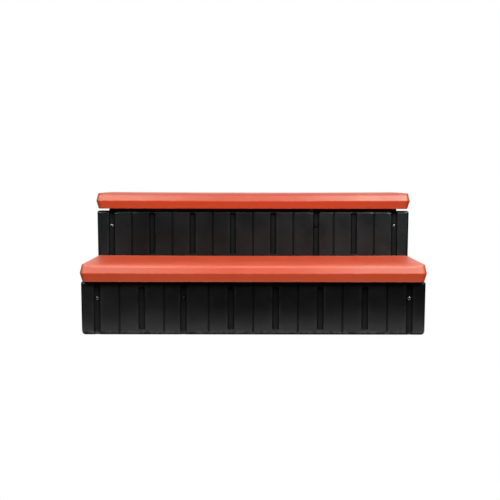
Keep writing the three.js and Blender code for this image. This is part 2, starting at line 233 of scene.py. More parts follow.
def ring_slab(half_x, half_y, corners, least_corner, xs, ys, arc_steps, profile,
              shape_top, shape_bottom):
    """A closed slab with a rounded-rectangle plan.

    corners holds the corner radii at the -y and at the +y side.

    profile runs (inset, z) from the inner edge of the top sheet, out over the
    rim and back to the inner edge of the bottom sheet. xs and ys are the
    straight positions of the innermost ring. The shape functions take arrays
    (x, y, z, inset) and return z, where inset is the distance from the outline.
    Returns the vertices, the faces and the inset of each vertex."""
    turns = [math.pi / 2 * k / arc_steps for k in range(1, arc_steps)]

    def ring(inset):
        end_x, end_y = half_x - inset, half_y - inset
        near, far = (max(radius - inset, least_corner) for radius in corners)
        near_x, far_x = end_x - near, end_x - far
        near_y, far_y = end_y - near, end_y - far
        near_xs, far_xs = xs * (near_x / xs[-1]), xs * (far_x / xs[-1])
        side_ys = (ys + ys[-1]) / (2 * ys[-1]) * (far_y + near_y) - near_y
        points = [(x, -end_y) for x in near_xs]
        points += [(near_x + near * math.sin(t), -near_y - near * math.cos(t)) for t in turns]
        points += [(end_x, y) for y in side_ys]
        points += [(far_x + far * math.cos(t), far_y + far * math.sin(t)) for t in turns]
        points += [(x, end_y) for x in far_xs[::-1]]
        points += [(-far_x - far * math.sin(t), far_y + far * math.cos(t)) for t in turns]
        points += [(-end_x, y) for y in side_ys[::-1]]
        points += [(-near_x - near * math.cos(t), -near_y - near * math.sin(t)) for t in turns]
        return np.array(points), near_xs, side_ys

    verts, faces, insets, straights = [], [], [], []
    for k, (inset, z) in enumerate(profile):
        points, *straight = ring(inset)
        straights.append(straight)
        distance = np.full(len(points), float(inset))
        shape = shape_top if k < len(profile) // 2 else shape_bottom
        height = shape(points[:, 0], points[:, 1], np.full(len(points), float(z)), distance)
        verts.append(np.column_stack([points, height]))
        insets.append(distance)
    count = len(verts[0])
    for k in range(len(profile) - 1):
        this, following = k * count, (k + 1) * count
        for i in range(count):
            j = (i + 1) % count
            faces.append((this + i, following + i, following + j, this + j))

    first = count * len(profile)
    for k, shape in ((0, shape_top), (len(profile) - 1, shape_bottom)):
        grid_x, grid_y = np.meshgrid(*straights[k], indexing="ij")
        ids = (first + np.arange(grid_x.size).reshape(grid_x.shape)).tolist()
        first += grid_x.size
        grid_x, grid_y = grid_x.ravel(), grid_y.ravel()
        distance = np.minimum(half_x - np.abs(grid_x), half_y - np.abs(grid_y))
        height = shape(grid_x, grid_y, np.full(grid_x.size, float(profile[k][1])), distance)
        verts.append(np.column_stack([grid_x, grid_y, height]))
        insets.append(distance)
        sheet = []
        for row, after in zip(ids, ids[1:]):
            for j in range(len(row) - 1):
                sheet.append((row[j], after[j], after[j + 1], row[j + 1]))
        # join the grid's sides to the ring, with a fan in each corner
        start, at = k * count, 0
        for side in ([row[0] for row in ids], ids[-1],
                     [row[-1] for row in ids[::-1]], ids[0][::-1]):
            for a, b in zip(side, side[1:]):
                sheet.append((start + at, start + at + 1, b, a))
                at += 1
            for _ in range(arc_steps):
                sheet.append((start + at, start + (at + 1) % count, side[-1]))
                at += 1
        faces += sheet if k == 0 else [face[::-1] for face in sheet]
    return np.vstack(verts), faces, np.concatenate(insets)


WALL_STEPS = 3            # faces across the thickness of a plate


def plate(us, vs, cell_inside, front, back):
    """A closed board over the cells of a (u, v) grid that lie inside an outline.

    front(u, v) and back(u, v) give the sheet positions along the thickness."""
    count_u, count_v = len(us) - 1, len(vs) - 1
    inside = cell_inside(*np.meshgrid((us[:-1] + us[1:]) / 2, (vs[:-1] + vs[1:]) / 2,
                                      indexing="ij"))
    grid_u, grid_v = np.meshgrid(us, vs, indexing="ij")
    front_at, back_at = front(grid_u, grid_v), back(grid_u, grid_v)
    index = {}
    verts = []

    def vertex(i, j, k):
        """The vertex k steps from the front sheet to the back one."""
        key = (i, j, k)
        if key not in index:
            index[key] = len(verts)
            share = k / WALL_STEPS
            depth = front_at[i, j] * (1 - share) + back_at[i, j] * share
            verts.append((grid_u[i, j], grid_v[i, j], depth))
        return index[key]

    faces = []
    for i in range(count_u):
        for j in range(count_v):
            if not inside[i, j]:
                continue
            corners = [(i, j), (i + 1, j), (i + 1, j + 1), (i, j + 1)]
            faces.append(tuple(vertex(*c, 0) for c in corners))
            faces.append(tuple(vertex(*c, WALL_STEPS) for c in corners[::-1]))
            beside = ((0, -1), (1, 0), (0, 1), (-1, 0))
            for n, (step_i, step_j) in enumerate(beside):
                next_i, next_j = i + step_i, j + step_j
                if (0 <= next_i < count_u and 0 <= next_j < count_v
                        and inside[next_i, next_j]):
                    continue
                here, there = ([vertex(*c, k) for k in (0, *range(1, WALL_STEPS), WALL_STEPS)]
                               for c in (corners[n], corners[(n + 1) % 4]))
                for k in range(WALL_STEPS):
                    faces.append((there[k], here[k], here[k + 1], there[k + 1]))
    return np.array(verts), faces


# ------------------------------------------------------------------ materials

class Graph:
    """Fills the emptied node tree of a material or world; most methods add a
    node and return its output."""

    def __init__(self, owner):
        owner.use_nodes = True
        self.tree = owner.node_tree
        for node in list(self.tree.nodes):
            self.tree.nodes.remove(node)

    def feed(self, socket, value):
        if isinstance(value, bpy.types.NodeSocket):
            self.tree.links.new(value, socket)
        elif value is not None:
            socket.default_value = value

    def node(self, kind, inputs=None, **settings):
        node = self.tree.nodes.new("ShaderNode" + kind)
        for key, value in settings.items():
            setattr(node, key, value)
        for key, value in (inputs or {}).items():
            self.feed(node.inputs[key], value)
        return node

    def mapping(self, scale, offset):
        place = self.node("TexCoord").outputs["Object"]
        inputs = {"Scale": scale, "Location": offset, "Vector": place}
        return self.node("Mapping", inputs).outputs["Vector"]

    def noise(self, vector, scale, detail, rough, distortion=0.0):
        inputs = {"Scale": scale, "Detail": detail, "Roughness": rough,
                  "Distortion": distortion, "Vector": vector}
        return self.node("TexNoise", inputs).outputs["Fac"]

    def remap(self, value, source, target):
        inputs = {"From Min": source[0], "From Max": source[1],
                  "To Min": target[0], "To Max": target[1], "Value": value}
        return self.node("MapRange", inputs).outputs["Result"]

    def mix(self, share, first, second):
        first, second = ((*c, 1.0) if isinstance(c, tuple) else c for c in (first, second))
        return self.node("Mix", {0: share, 6: first, 7: second}, data_type="RGBA").outputs[2]

    def math(self, operation, first, second=None):
        return self.node("Math", {0: first, 1: second}, operation=operation).outputs[0]

    def times(self, first, second):
        return self.math("MULTIPLY", first, second)

    def less(self, value, share):
        """1 - value * share"""
        return self.math("SUBTRACT", 1.0, self.times(value, share))

    def bump(self, height, distance, strength, normal=None):
        inputs = {"Strength": strength, "Distance": distance, "Height": height,
                  "Normal": normal}
        return self.node("Bump", inputs).outputs["Normal"]

    def attribute(self, name):
        return self.node("Attribute", attribute_name=name).outputs["Fac"]

    def weight(self, name, value):
        socket = self.node("Value", name=name).outputs[0]
        socket.default_value = value
        return socket

    def camera_only(self, seen, rest):
        """One shader for what the camera sees, another for the light it gives."""
        is_camera = self.node("LightPath").outputs["Is Camera Ray"]
        return self.node("MixShader", {0: is_camera, 1: rest, 2: seen}).outputs[0]


def new_material(name):
    material = bpy.data.materials.new(name)
    graph = Graph(material)
    output = graph.node("OutputMaterial")
    bsdf = graph.node("BsdfPrincipled")
    graph.feed(output.inputs["Surface"], bsdf.outputs["BSDF"])
    return material, graph, bsdf


def moulded_plastic(name, base, light, dark, wear_and_highlight, rough, grain, pebble, offset, shine,
                    streak=0.0, faded=None, tint=None):
    """Satin moulded polyethylene: cloudy colour, a fine pebbled skin and paler edges, partly
    rubbed and partly a painted highlight.

    light, dark, the edge colour and the optional highlight colour are colours around the base;
    the edge colour is partly rubbed and partly a painted highlight, the highlight colour is a
    painted highlight, and dark also serves for painted shade. grain is the bump height in
    metres, pebble the scale of its noise, and streak the strength of dark streaks along X."""
    material, g, bsdf = new_material(name)
    place = g.mapping(scale=(1, 1, 1), offset=offset)
    # clouds and flecks
    cloud = g.noise(place, scale=3.2, detail=5.0, rough=0.55, distortion=0.4)
    color = g.mix(g.remap(cloud, source=(0.30, 0.70), target=(0.0, 1.0)), dark, light)
    color = g.mix(0.5, color, base)
    fleck = g.noise(place, scale=260.0, detail=3.0, rough=0.6)
    color = g.mix(g.remap(fleck, source=(0.35, 0.75), target=(0.0, 0.22)), color, light)
    if streak:
        stretched = g.mapping(scale=(1.0, 16.0, 16.0),
                              offset=(offset[0] + 3.1, offset[1], offset[2]))
        lines = g.noise(stretched, scale=5.0, detail=4.0, rough=0.6, distortion=0.25)
        color = g.mix(g.remap(lines, source=(0.35, 0.70), target=(0.0, streak)), color, dark)
    # patchy paler edges, at full strength: rubbed edges, and on the treads and risers a painted
    # highlight as well
    edge = g.attribute("edge")
    edge_patches = g.noise(place, scale=42.0, detail=6.0, rough=0.7, distortion=0.3)
    wear_and_highlight_mask = g.times(edge, g.remap(edge_patches, source=(0.42, 0.62), target=(0.0, 1.0)))
    wear_and_highlight_mask = g.times(wear_and_highlight_mask, 1.0)
    # painted shade: the colour is mixed towards dark where the risers lie in shade
    dry = g.attribute("dry")
    color = g.mix(dry, color, dark)
    color = g.mix(wear_and_highlight_mask, color, wear_and_highlight)
    if faded:
        # painted shade near the top edge, then a painted highlight towards the ends
        color = g.mix(g.attribute("dull"), color, tuple(0.5 * c for c in base))
        color = g.mix(g.attribute("faded"), color, faded)
    g.feed(bsdf.inputs["Base Color"], color)
    # the upper riser's cyan specular tint paints out the red reflection of the tread below
    if tint:
        bsdf.inputs["Specular Tint"].default_value = (*tint, 1.0)
    # roughness: uneven, more along the paler edges and in the matt bottoms of the channels
    uneven = g.noise(place, scale=14.0, detail=5.0, rough=0.6)
    roughness = g.remap(uneven, source=(0.3, 0.7), target=(rough - 0.05, rough + 0.06))
    roughness = g.math("ADD", roughness, g.times(wear_and_highlight_mask, 0.10))
    matt = g.attribute("matt")
    roughness = g.math("ADD", roughness, g.times(matt, 0.16))
    g.feed(bsdf.inputs["Roughness"], roughness)
    # matt parts and parts with painted shade also reflect less
    level = g.times(g.less(matt, 0.62), shine)
    level = g.times(g.less(dry, 0.80), level)
    g.feed(bsdf.inputs["Specular IOR Level"], level)
    # two sizes of pebble over a soft unevenness
    coarse = g.noise(place, scale=pebble, detail=2.0, rough=0.5)
    fine = g.noise(place, scale=pebble * 3.1, detail=2.0, rough=0.5)
    normal = g.bump(coarse, distance=grain, strength=0.55)
    normal = g.bump(fine, distance=grain * 0.45, strength=0.55, normal=normal)
    soft = g.noise(place, scale=18.0, detail=2.0, rough=0.5)
    normal = g.bump(soft, distance=grain * 3.0, strength=0.35, normal=normal)
    g.feed(bsdf.inputs["Normal"], normal)
    bsdf.inputs["IOR"].default_value = 1.5
    return material


def metal(name, base, rough, tint, offset):
    material, g, bsdf = new_material(name)
    place = g.mapping(scale=(1, 1, 1), offset=offset)
    fine = g.noise(place, scale=900.0, detail=4.0, rough=0.6)
    patches = g.noise(place, scale=180.0, detail=4.0, rough=0.6)
    color = g.mix(g.remap(patches, source=(0.35, 0.7), target=(0.0, 1.0)), base, tint)
    g.feed(bsdf.inputs["Base Color"], color)
    bsdf.inputs["Metallic"].default_value = 1.0
    roughness = g.remap(fine, source=(0.3, 0.7), target=(rough - 0.06, rough + 0.10))
    g.feed(bsdf.inputs["Roughness"], roughness)
    g.feed(bsdf.inputs["Normal"], g.bump(fine, distance=0.00003, strength=0.6))
    return material


# The tread's edge colour is partly rubbed and partly a painted highlight; the paler pink colour
# is a painted highlight on the rim's ends.
TREAD = moulded_plastic(
    "tread_redwood", base=(0.470, 0.0470, 0.0100), light=(0.505, 0.0560, 0.0135),
    dark=(0.425, 0.0395, 0.0078), wear_and_highlight=(0.60, 0.140, 0.068), faded=(0.50, 0.165, 0.105),
    rough=0.42, grain=0.00022, pebble=420.0, offset=(0.0, 0.0, 0.0), shine=0.70, streak=0.16)
# The panels' pale edge colour also paints a highlight on the top roll and along the foot.
PANEL = moulded_plastic(
    "panel_black", base=(0.0026, 0.0026, 0.0028), light=(0.0042, 0.0042, 0.0045),
    dark=(0.0014, 0.0014, 0.0016), wear_and_highlight=(0.050, 0.050, 0.051),
    rough=0.40, grain=0.00022, pebble=380.0, offset=(1.7, 0.4, 0.9), shine=0.44)
# A copy of the panel material for the upper riser: its cooler colour and cyan specular tint
# paint out the tread's red reflection, and its paler edge colour paints the top roll's
# highlight.
PANEL_UPPER_PAINTED = moulded_plastic(
    "panel_black_cool", base=(0.0022, 0.0027, 0.0029), light=(0.0036, 0.0043, 0.0046),
    dark=(0.0011, 0.0014, 0.0016), wear_and_highlight=(0.105, 0.105, 0.107), tint=(0.82, 1.0, 1.0),
    rough=0.40, grain=0.00022, pebble=380.0, offset=(1.7, 0.4, 0.9), shine=0.52)
FRAME = moulded_plastic(
    "frame_black", base=(0.0040, 0.0040, 0.0043), light=(0.0062, 0.0062, 0.0066),
    dark=(0.0024, 0.0024, 0.0026), wear_and_highlight=(0.022, 0.022, 0.023),
    rough=0.45, grain=0.00025, pebble=360.0, offset=(4.3, 2.4, 0.3), shine=0.44)
CLEAT = moulded_plastic(
    "cleat_black", base=(0.0050, 0.0050, 0.0050), light=(0.0080, 0.0080, 0.0080),
    dark=(0.0030, 0.0030, 0.0030), wear_and_highlight=(0.022, 0.022, 0.022),
    rough=0.52, grain=0.00012, pebble=700.0, offset=(6.1, 1.2, 2.3), shine=0.44)
STEEL = metal("screw_steel", base=(0.26, 0.26, 0.27), rough=0.30, tint=(0.18, 0.18, 0.19),
              offset=(0.3, 0.2, 0.1))
DARK = metal("screw_dark", base=(0.020, 0.020, 0.021), rough=0.40,
             tint=(0.012, 0.012, 0.013), offset=(0.9, 0.5, 0.7))


# --------------------------------------------------------------------- treads

RIDGE_HEIGHT = 23.2                 # height of the rim's ridge on a tread this thick:
RIDGE_THICK = 47.0
BEVEL_UP = 5.2 / 20.7               # set-back per mm of height above the ridge
BEVEL_DOWN = 7.0 / RIDGE_HEIGHT     # and below it
RIDGE_ROUND = 1.6                   # half height of the rounding on the ridge
NOSE_FALL = 2.0                     # how far the top falls towards the nosing
FLAT_INSET = 26.0                   # inset of the rim's innermost ring
INNER_CORNER = 4.0
TREAD_CORNERS = (16.0, 16.0)
# insets of the rings between the flat top and the ridge
RIM_INSETS = (26.0, 22.5, 19.0, 16.0, 13.6, 11.8, 10.2, 9.2, 8.4, 7.8, 7.2, 6.7, 6.3, 6.0,
              5.7, 5.45, 5.25, 5.05, 4.7, 4.3, 3.9, 3.4, 2.9, 2.0, 1.3, 0.7)
# upright hollows in the underside
HOLLOW_XS = (-280.0, -120.0, -48.0, 48.0, 120.0, 280.0)
HOLLOW_HALF, HOLLOW_REACH, HOLLOW_CORNER, HOLLOW_DEPTH = 12.0, 95.0, 11.0, 39.0
HOLLOW_WALL = table((-1.2, 0), (-0.5, 0.012), (0.0, 0.05), (0.5, 0.25), (1.4, 0.72),
                    (2.6, 0.95), (4.0, 0.995), (5.5, 1.0))
# grid lines around a hollow, as distances from its middle
HOLLOW_LINES_X = (13.4, 12.7, 12.2, 11.6, 10.8, 9.6, 8.2, 6.5)
HOLLOW_LINES_Y = (96.4, 95.6, 94.8, 93.6, 91.5, 88.0, 84.0)


def build_tread(name, seed, all_round):
    """The front edge is a soft nosing; with all_round the back edge is too, and
    the ends are softened a little."""
    low, high = box_mm(name)
    width, depth, thick = high - low
    centre = (low + high) / 2
    half_x, half_y = width / 2, depth / 2
    ridge = thick * RIDGE_HEIGHT / RIDGE_THICK

    def bevel(z):
        return BEVEL_UP * (z - ridge), z

    def under(z):
        return BEVEL_DOWN * (ridge - z), z

    # (inset, z) from the flat top down to the ridge
    # a small radius between the flat top and the bevel
    tight = [(FLAT_INSET, thick), (12.0, thick), (9.5, thick)]
    tight += bezier((8.6, thick), bevel(thick), bevel(thick - 2.6), 8)
    tight += [bevel(thick - 6), bevel(thick - 12), bevel(ridge)]
    # the top falls away towards a nosing with a wide shoulder
    fallen = thick - NOSE_FALL
    nose = [(FLAT_INSET, fallen), (22.5, fallen - 0.2), (19.0, fallen - 0.45)]
    nose += bezier((16.0, fallen - 0.75), bevel(thick - 4.3), bevel(thick - 8.2), 10)
    nose += [bevel(thick - 12), bevel(ridge)]
    tight, nose = np.array(tight)[::-1].T, np.array(nose)[::-1].T

    rim = [(inset, float(np.interp(inset, *tight))) for inset in RIM_INSETS]
    rim += bezier((BEVEL_UP * RIDGE_ROUND, ridge + RIDGE_ROUND), (0.0, ridge),
                  (BEVEL_DOWN * RIDGE_ROUND, ridge - RIDGE_ROUND), 6)
    rim += [under(z) for z in (ridge - 2.6, ridge - 5, ridge - 11, 5.5, 3.4)]
    rim += bezier(under(2.6), under(0.0), (9.5, 0.0), 6)
    rim += [(11.0, 0.0), (FLAT_INSET, 0.0)]
    rim = [(max(inset, 0.02), z) for inset, z in rim]
    # as many rings below the ridge as above it
    above = next(k for k, (inset, z) in enumerate(rim) if z < ridge)
    while above * 2 > len(rim):
        rim.insert(len(rim) - 1, ((rim[-1][0] + rim[-2][0]) / 2, 0.0))

    lines_x, lines_y = mirrored(0.0, HOLLOW_LINES_Y[:0]), mirrored(0.0, HOLLOW_LINES_Y)
    for middle in HOLLOW_XS:
        lines_x += mirrored(middle, HOLLOW_LINES_X)
    end_x = half_x - FLAT_INSET - INNER_CORNER
    end_y = half_y - FLAT_INSET - INNER_CORNER
    xs = spread([-end_x, end_x] + lines_x, 9.0)
    ys = spread([-end_y, end_y] + lines_y, 9.0)

    def top(x, y, z, inset):
        sag = 0.20 * swell(x, y, seed, ((260.0, 0.6), (120.0, 0.4))) * unit(inset / 30.0)
        inward = smooth((half_x - np.abs(x) - 8.0) / 46.0)
        if all_round:
            # long sides soft, ends only a little
            side = np.exp(-np.maximum(half_y - np.abs(y) - FLAT_INSET, 0) / 38.0)
            end = np.exp(-np.maximum(half_x - np.abs(x) - FLAT_INSET, 0) / 38.0)
            share = np.maximum(side * (0.30 + 0.70 * inward), 0.30 * end)
        else:
            share = inward * np.exp(-np.maximum(y + half_y - FLAT_INSET, 0) / 38.0)
        change = np.interp(inset, *nose) - np.interp(inset, *tight)
        return z - sag + np.where(z > ridge + 1.7, share * change, 0.0)

    def bottom(x, y, z, inset):
        sunk = np.zeros_like(z)
        for middle in HOLLOW_XS:
            inside = slot_inset(x, y, middle, -HOLLOW_REACH, HOLLOW_REACH, HOLLOW_HALF,
                                HOLLOW_CORNER)
            sunk = np.maximum(sunk, HOLLOW_DEPTH * np.interp(inside, *HOLLOW_WALL))
        return z + np.where(inset > FLAT_INSET - 1.0, sunk, 0.0)

    verts, faces, inset = ring_slab(half_x, half_y, TREAD_CORNERS, INNER_CORNER, xs, ys, 10,
                                    rim, top, bottom)
    x, y, z = verts.T                  # views, so changes reach verts
    # the moulding's long ridge wanders very slightly, always inwards
    drift = 0.30 * swell(x, y, seed + 5, ((330.0, 0.6), (140.0, 0.4))) * unit(1 - inset / 14.0)
    y -= np.sign(y) * drift
    # paler ridge, foot and shoulder: partly rubbed, partly a painted highlight
    ridge_edge = band(z, ridge, 1.3) * (inset < 2)
    low_edge = band(z, 0.0, 2.2) * (inset < 11)
    shoulder = band(z, thick - 5.0, 1.8) * (inset < 12)
    edge = unit(0.55 * ridge_edge + 0.75 * low_edge + 0.30 * shoulder)
    # the upper rim gets a painted highlight towards its ends
    rim_part = unit((z - ridge - 0.8) / 1.2) * unit((30 - inset) / 16)
    rim_part = np.maximum(rim_part, 0.45 * unit((80 - inset) / 60) * (z > thick - 6))
    endward = smooth((np.abs(x) - 60.0) / 320.0) * (1.0 + 0.12 * np.sign(x))
    patch = 0.88 + 0.12 * wave(x, y, seed + 9, ((90.0, 0.6), (40.0, 0.4)))
    faded = unit((0.66 if all_round else 0.38) * endward * patch * rim_part)
    dull = matt = np.zeros(len(verts))
    if all_round:
        # painted shade over the rim and brow, and a matt brow
        brow = unit((z - (thick - 9.5)) / 3.0) * unit((70 - inset) / 45)
        dull = rim_part * 0.30 + brow * 0.36
        matt = 0.60 * brow
        faded = faded * (1 - 0.6 * brow)
    # long hollow mouldings settle a little between the side frames
    settle = 1.5 * (1 - (x / half_x) ** 2)
    if all_round:
        # this one also leans back a little
        settle = settle + 2.4 * ((y + half_y) / (2 * half_y)) ** 2
    z -= settle * unit(z / thick) ** 1.5
    verts = verts + np.array([centre[0], centre[1], low[2]])
    make_object(name, "_skin", verts, faces, TREAD, "tread_redwood", edge=edge, matt=matt,
                faded=faded, dull=unit(dull))


# --------------------------------------------------------------- riser panels

PANEL_ROUND = 8.0                   # rounding of the faces' edges
PANEL_CORNERS = (10.0, 6.0)         # at the foot and at the top
CHANNEL_DEPTH = 8.0
SCREW_UP = 97.5                     # height of the screws above the panel's foot
# (x, screw seat depth) of the channels that run out over both edges
THROUGH = ((-3.5 * PITCH, 0.45), (MID_X, 2.6), (3.5 * PITCH, 0.45))
# (x, whether it runs through) of all wide channels
CHANNELS = ([(x, True) for x, seat in THROUGH]
            + [(k * PITCH, False) for k in (-2.5, -1.5, -0.5, 0.5, 2.5)])
GROOVE_XS = [k * PITCH for k in range(-3, 4)]
GROOVE_DEPTH = 3.4
# (distance from the middle, share of the depth)
GROOVE = table((0, 1.0), (0.4, 0.97), (1.0, 0.82), (1.5, 0.62), (1.95, 0.40), (2.3, 0.21),
               (2.75, 0.07), (3.3, 0.0))
PANEL_SEAT = table((0, 1), (4.7, 1), (5.1, 0.85), (5.6, 0.2), (6.2, 0))
SEAT_LINES = np.arange(-6.4, 6.5, 0.8)
# margins left at the foot and at the top by the closed channels of each face;
# the face's number also goes into its random seed
CLOSED_MARGINS = {0: (14.0, 7.5), 3: (14.5, 13.5)}
# (position, strength of the painted shade) across the upper riser, and up and across the lower
# one
UPPER_PAINTED_SHADE_X = table((-430, 0.15), (-395, 0.2), (-340, 0.5), (-150, 0.42), (0, 0.2),
                    (130, 0.14), (250, 0.0))
LOWER_PAINTED_SHADE_UP = table((25, 0.0), (51, 0.30), (79, 0.75), (106, 0.85), (141, 0.90))
LOWER_PAINTED_SHADE_X = table((-400, 0.35), (-330, 0.45), (-255, 0.7), (-110, 1.0))


def panel_grid(half_x, half_y):
    corner = PANEL_CORNERS[0]
    end_x, end_y = half_x - corner, half_y - corner
    xs = [-end_x, end_x]
    for middle, _ in CHANNELS:
        xs += mirrored(middle, CHANNEL_HALF - DISH[0][:-1]) + [middle]
    for middle, _ in THROUGH:
        xs += [middle + s for s in SEAT_LINES]
    for middle in GROOVE_XS:
        xs += mirrored(middle, GROOVE[0])
    ys = [-end_y, end_y]
    for foot, head in CLOSED_MARGINS.values():
        for end, sign in ((-half_y + foot, 1), (half_y - head, -1)):
            ys += [end + sign * s for s in CRISP[0] if abs(end + sign * s) < end_y]
            ys += [end + sign * s for s in (4.2, 5.6)]
    ys += [SCREW_UP - half_y + s for s in SEAT_LINES]
    xs = thin_out(spread(xs, 8.0), 0.28)
    ys = thin_out(spread(ys, 9.0), 0.18)
    xs[0], xs[-1] = -end_x, end_x
    ys[0], ys[-1] = -end_y, end_y
    return xs, ys


def build_panel(name, facing, seed):
    """facing is -1 if the moulding's face 0 looks to -Y and +1 if to +Y.

    Locally x runs along the panel, y up and z into its thickness."""
    low, high = box_mm(name)
    width, thick, tall = high - low
    centre = (low + high) / 2
    half_x, half_y = width / 2, tall / 2
    xs, ys = panel_grid(half_x, half_y)
    rim = [(PANEL_ROUND, 0.0)]
    for k in range(1, 9):
        turn = math.pi / 2 * k / 8
        rim.append((PANEL_ROUND * (1 - math.sin(turn)), PANEL_ROUND * (1 - math.cos(turn))))
    rim += [(0.0, PANEL_ROUND + 0.8), (0.0, thick / 2 - 0.6)]
    rim += [(inset, thick - z) for inset, z in rim[::-1]]

    def carve(x, y, inset, face):
        depth = np.zeros_like(x)
        foot, head = CLOSED_MARGINS[face]
        for middle, through in CHANNELS:
            away = np.abs(x - middle)
            sunk = CHANNEL_DEPTH * np.interp(CHANNEL_HALF - away, *DISH)
            if not through:
                # the closed ends are square-cut with a small radius in each corner
                drop = 2.4 * unit((away - 5.6) / 3.15) ** 2
                inside = np.minimum(y - (-half_y + foot), half_y - head - y)
                sunk = sunk * np.interp(inside - drop, *CRISP)
            depth = np.maximum(depth, sunk)
        for middle in GROOVE_XS:
            depth = np.maximum(depth, GROOVE_DEPTH * np.interp(np.abs(x - middle), *GROOVE))
        # where a channel runs out over the edge its floor rolls over as well
        depth = depth + np.where(depth > 0.02, fillet(inset, 2.2) * unit(depth / 3.0), 0.0)
        # seats pressed into the channel floor for the screws
        for middle, seat in THROUGH:
            away = np.hypot(x - middle, y - (SCREW_UP - half_y))
            depth = depth + seat * np.interp(away, *PANEL_SEAT)
        uneven = 0.22 * swell(x, y, seed + face, ((170.0, 0.5), (75.0, 0.35), (33.0, 0.15)))
        return depth + uneven * unit(inset / 8.0)

    def near(x, y, z, inset):
        return np.maximum(z, carve(x, y, inset, 0))

    def far(x, y, z, inset):
        return np.minimum(z, thick - carve(x, y, inset, 3))

    verts, faces, inset = ring_slab(half_x, half_y, PANEL_CORNERS, 2.0, xs, ys, 8, rim,
                                    near, far)
    x, y, z = verts.T
    # the ends draw in a little towards the floor
    x -= np.sign(x) * 1.5 * smooth((np.abs(x) - 426.0) / 22.0) * (0.5 - y / tall)
    depth = np.minimum(z, thick - z)
    across = [np.abs(x - middle) for middle, _ in CHANNELS]
    # paler rims and channel lips: partly rubbed, partly a painted highlight
    lip = np.max([band(CHANNEL_HALF - away, -0.7, 0.8) for away in across], axis=0)
    edge = 0.4 * unit(0.40 * band(inset, 2.4, 2.0) * (depth < 6) + 0.30 * lip * (depth < 2))
    # channel floors are matt
    matt = unit((8.9 - np.min(across, axis=0)) / 0.8) * unit((depth - 0.6) / 1.5)
    matt = matt * (inset > 1.5)
    if facing < 0:
        placed = [centre[0] + x, low[1] + z, centre[2] + y]
    else:
        # turned about the upright axis
        placed = [centre[0] - x, high[1] - z, centre[2] + y]
    verts = np.column_stack(placed)

    x, up = verts[:, 0], verts[:, 2] - low[2]
    patch = 0.93 + 0.07 * wave(x, up, seed + 3, ((120.0, 0.6), (45.0, 0.4)))
    # a painted highlight along the top roll towards the ends
    top_roll_highlight = band(high[2] - verts[:, 2], 1.6, 1.8) * unit((np.abs(x) - 250.0) / 120.0)
    dry = np.zeros(len(verts))
    material = PANEL
    if name == "upper_riser":
        # this one takes the panel copy that paints out the tread's red reflection, with painted
        # shade towards the left and a painted highlight on its top roll
        material = PANEL_UPPER_PAINTED
        dry = patch * np.interp(x, *UPPER_PAINTED_SHADE_X)
        edge = 0.5 * edge + 0.9 * top_roll_highlight
    if name == "lower_riser":
        # painted shade, strongest high up under the overhang, and a painted highlight on the top
        # roll and along the foot
        dry = np.interp(up, *LOWER_PAINTED_SHADE_UP) * patch * np.interp(x, *LOWER_PAINTED_SHADE_X)
        edge = edge + 0.9 * top_roll_highlight + 0.9 * unit((13.0 - up) / 8.0)
    make_object(name, "_skin", verts, faces, material, "panel_black", edge=unit(edge),
                matt=matt, dry=unit(dry))


# ----------------------------------------------------- frames, supports, rail

# Boards stand in a plane of constant x, with outlines in (y, z)
RISER_LOW, RISER_HIGH = box_mm("upper_riser")
FRAME_LOW, FRAME_HIGH = box_mm("side_frame_right")
FRONT_Y = FRAME_LOW[1]
NOSE_Y = box_mm("upper_support")[0][1]     # where the low front part ends
STEP_Y = RISER_HIGH[1] - 8.0 + 0.3         # where the highest part begins
NUB_Y = FRAME_HIGH[1]                      # a shallow nub sticks out at the back
BACK_Y = NUB_Y - 12.0
SUPPORT_LOW, SUPPORT_HIGH = box_mm("lower_support")
LOW_Z = SUPPORT_HIGH[2]
LEDGE_Z = RISER_LOW[2] - 0.3               # top between NOSE_Y and STEP_Y
HIGH_Z = FRAME_HIGH[2]
NUB_Z = LOW_Z + 0.4                        # underside of the nub, which ends at LEDGE_Z

BOARD_ROUND = 2.6
ROUND_LINES = (0.0, 0.12, 0.45, 1.0, 1.8, 2.7)    # grid lines beside an outline
SPOT_SEAT = table((0, 1), (4.7, 1), (5.4, 0.2), (6.0, 0))
SPOT_LINES = np.arange(-6.0, 6.1, 1.0)

# An upright channel in a board: its middle y, half width, lower and upper end,
# depth and corner radius. With low None it runs out at the foot, and at the
# top too if high is None.
Cut = namedtuple("Cut", "mid half low high depth corner")


def wide_cut(mid, margin, top, depth):
    return Cut(mid, CHANNEL_HALF, low=margin, high=top - margin, depth=depth, corner=5.0)


def outline_distance(u, v, loop):
    """Distance from points to a closed polyline."""
    best = np.full(np.shape(u), 1e9)
    for (u0, v0), (u1, v1) in zip(loop, loop[1:] + loop[:1]):
        run, rise = u1 - u0, v1 - v0
        share = unit(((u - u0) * run + (v - v0) * rise) / (run * run + rise * rise))
        best = np.minimum(best, np.hypot(u - u0 - share * run, v - v0 - share * rise))
    return best


def within(points, low, high):
    return [p for p in points if low - 1e-6 <= p <= high + 1e-6]


def round_lines(values, low, high):
    """Grid positions around each outline value, on both sides, for the rounding."""
    return within([p for value in values for p in mirrored(value, ROUND_LINES)], low, high)


def board_wear(verts, loop):
    return 0.45 * band(outline_distance(verts[:, 0], verts[:, 1], loop), 0.9, 1.0)


def everywhere(u, v):
    return np.ones(np.shape(u), bool)


def rectangle(u0, u1, v0, v1):
    return [(u0, v0), (u1, v0), (u1, v1), (u0, v1)]


def wall_scale(cut):
    """Narrow channels have steeper walls."""
    return 1.0 if cut.half > 5 else 0.62


